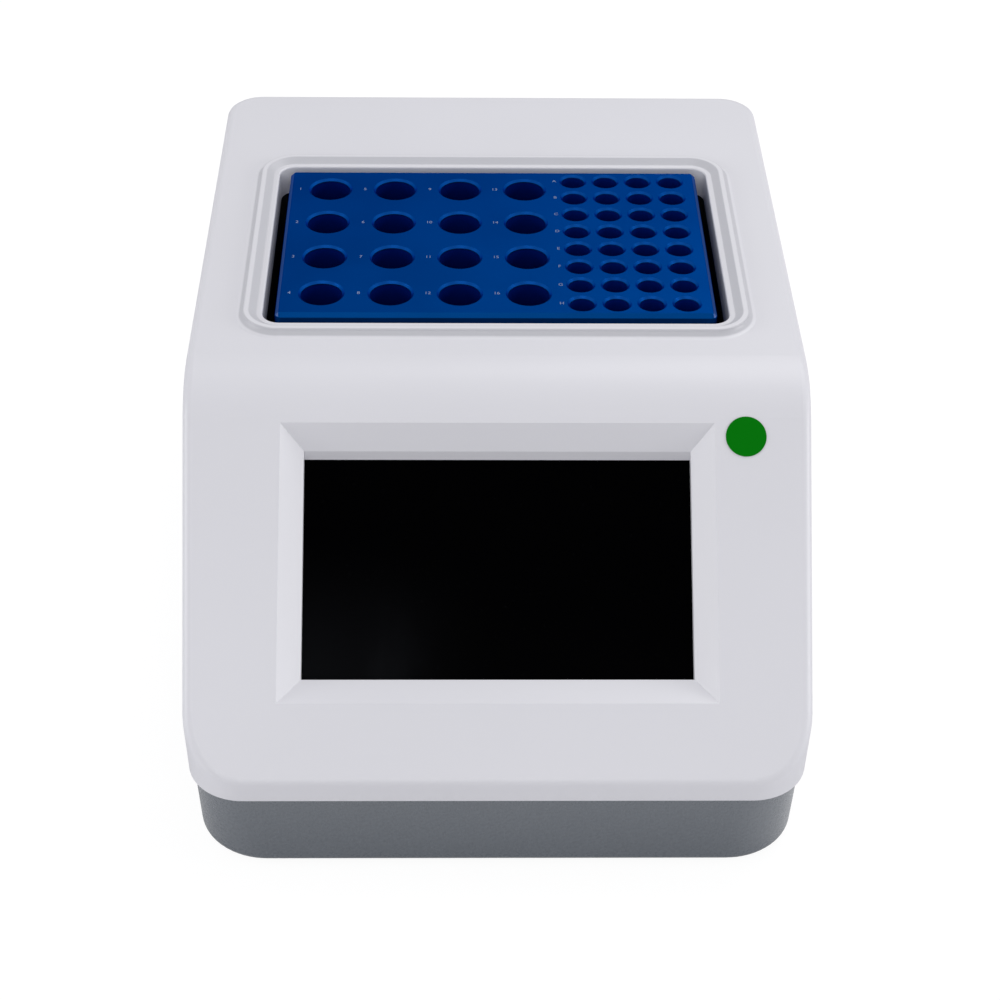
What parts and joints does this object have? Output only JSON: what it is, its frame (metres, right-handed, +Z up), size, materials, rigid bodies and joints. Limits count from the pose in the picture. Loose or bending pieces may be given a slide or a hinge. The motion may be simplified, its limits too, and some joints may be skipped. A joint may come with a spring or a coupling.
{
  "type": "dry bath incubator",
  "caption": "Compact bench dry bath: white moulded cover with a sloped touch panel, a blue lift-out block with tube wells in a rimmed bay and a grey base tray.",
  "frame": {"origin": "centre of the footprint, where the feet stand on the bench", "axes": "+X to the right of someone who faces the panel, +Y towards the back wall with the mains inlet, +Z up"},
  "size_m": [0.1548, 0.224, 0.0974],
  "materials": {
    "cover_white": "satin moulded",
    "tray_grey": "fine texture",
    "block_blue": "blue anodised",
    "bare_aluminium": "machined",
    "zinc_steel": "zinc plated",
    "screen_black": "gloss glass",
    "seal_black": "matte",
    "circuit_green": "solder mask",
    "sticker_green": "printed film",
    "black_plastic": "moulded",
    "terminal_green": "moulded",
    "relay_blue": "moulded",
    "capacitor_sleeve": "shrink sleeve",
    "winding_amber": "taped winding",
    "heater_amber": "film",
    "pad_grey": "foam",
    "foot_rubber": "matte",
    "brass_plain": "turned",
    "fuse_glass": "clear"
  },
  "bodies": {
    "case": {"top_cover": "cover_white", "display_gasket": "seal_black", "touch_glass": "screen_black", "lcd_panel": "zinc_steel", "display_board": "circuit_green", "display_screws": "zinc_steel", "green_sticker": "sticker_green", "heater_plate": "bare_aluminium", "locating_pins": "zinc_steel", "temperature_sensor": "zinc_steel", "heater_mat": "heater_amber", "insulation_pad": "pad_grey", "plate_spacers": "bare_aluminium", "plate_screws": "zinc_steel", "carrier_plate": "zinc_steel", "thermal_cutout": "black_plastic", "carrier_posts": "zinc_steel", "carrier_screws": "zinc_steel", "bay_liner": "black_plastic", "base_tray": "tray_grey", "rubber_feet": "foot_rubber", "foot_screws": "zinc_steel", "case_screws": "zinc_steel", "case_inserts": "brass_plain", "control_board": "circuit_green", "board_posts": "brass_plain", "board_screws": "zinc_steel", "heater_relay": "relay_blue", "screw_terminals": "terminal_green", "buzzer": "black_plastic", "control_chip": "black_plastic", "board_capacitors": "capacitor_sleeve", "supply_chassis": "bare_aluminium", "supply_screws": "zinc_steel", "supply_board": "circuit_green", "supply_transformer": "winding_amber", "supply_capacitors": "capacitor_sleeve", "supply_heatsinks": "bare_aluminium", "inlet_housing": "black_plastic", "inlet_pins": "brass_plain", "rocker_pin": "zinc_steel", "fan_frame": "black_plastic", "fan_screws": "zinc_steel"},
    "block": {"heating_block": "block_blue"},
    "fuse_holder": {"fuse_drawer": "black_plastic", "mains_fuses": "fuse_glass"},
    "rocker": {"power_rocker": "black_plastic"},
    "fan": {"fan_rotor": "black_plastic"}
  },
  "joints": [
    {"name": "block_lift", "type": "slide", "parent": "case", "child": "block", "axis": [0, 0, 1], "range_m": [0, 0.06]},
    {"name": "fuse_drawer_slide", "type": "slide", "parent": "case", "child": "fuse_holder", "axis": [0, 1, 0], "range_m": [0, 0.018]},
    {"name": "rocker_tip", "type": "hinge", "parent": "case", "child": "rocker", "pos_m": [-0.042, 0.106, 0.0722], "axis": [0, 0, 1], "range_deg": [0, 14]},
    {"name": "fan_spin", "type": "hinge", "parent": "case", "child": "fan", "pos_m": [0.028, 0.1, 0.06], "axis": [0, 1, 0], "continuous": true}
  ]
}
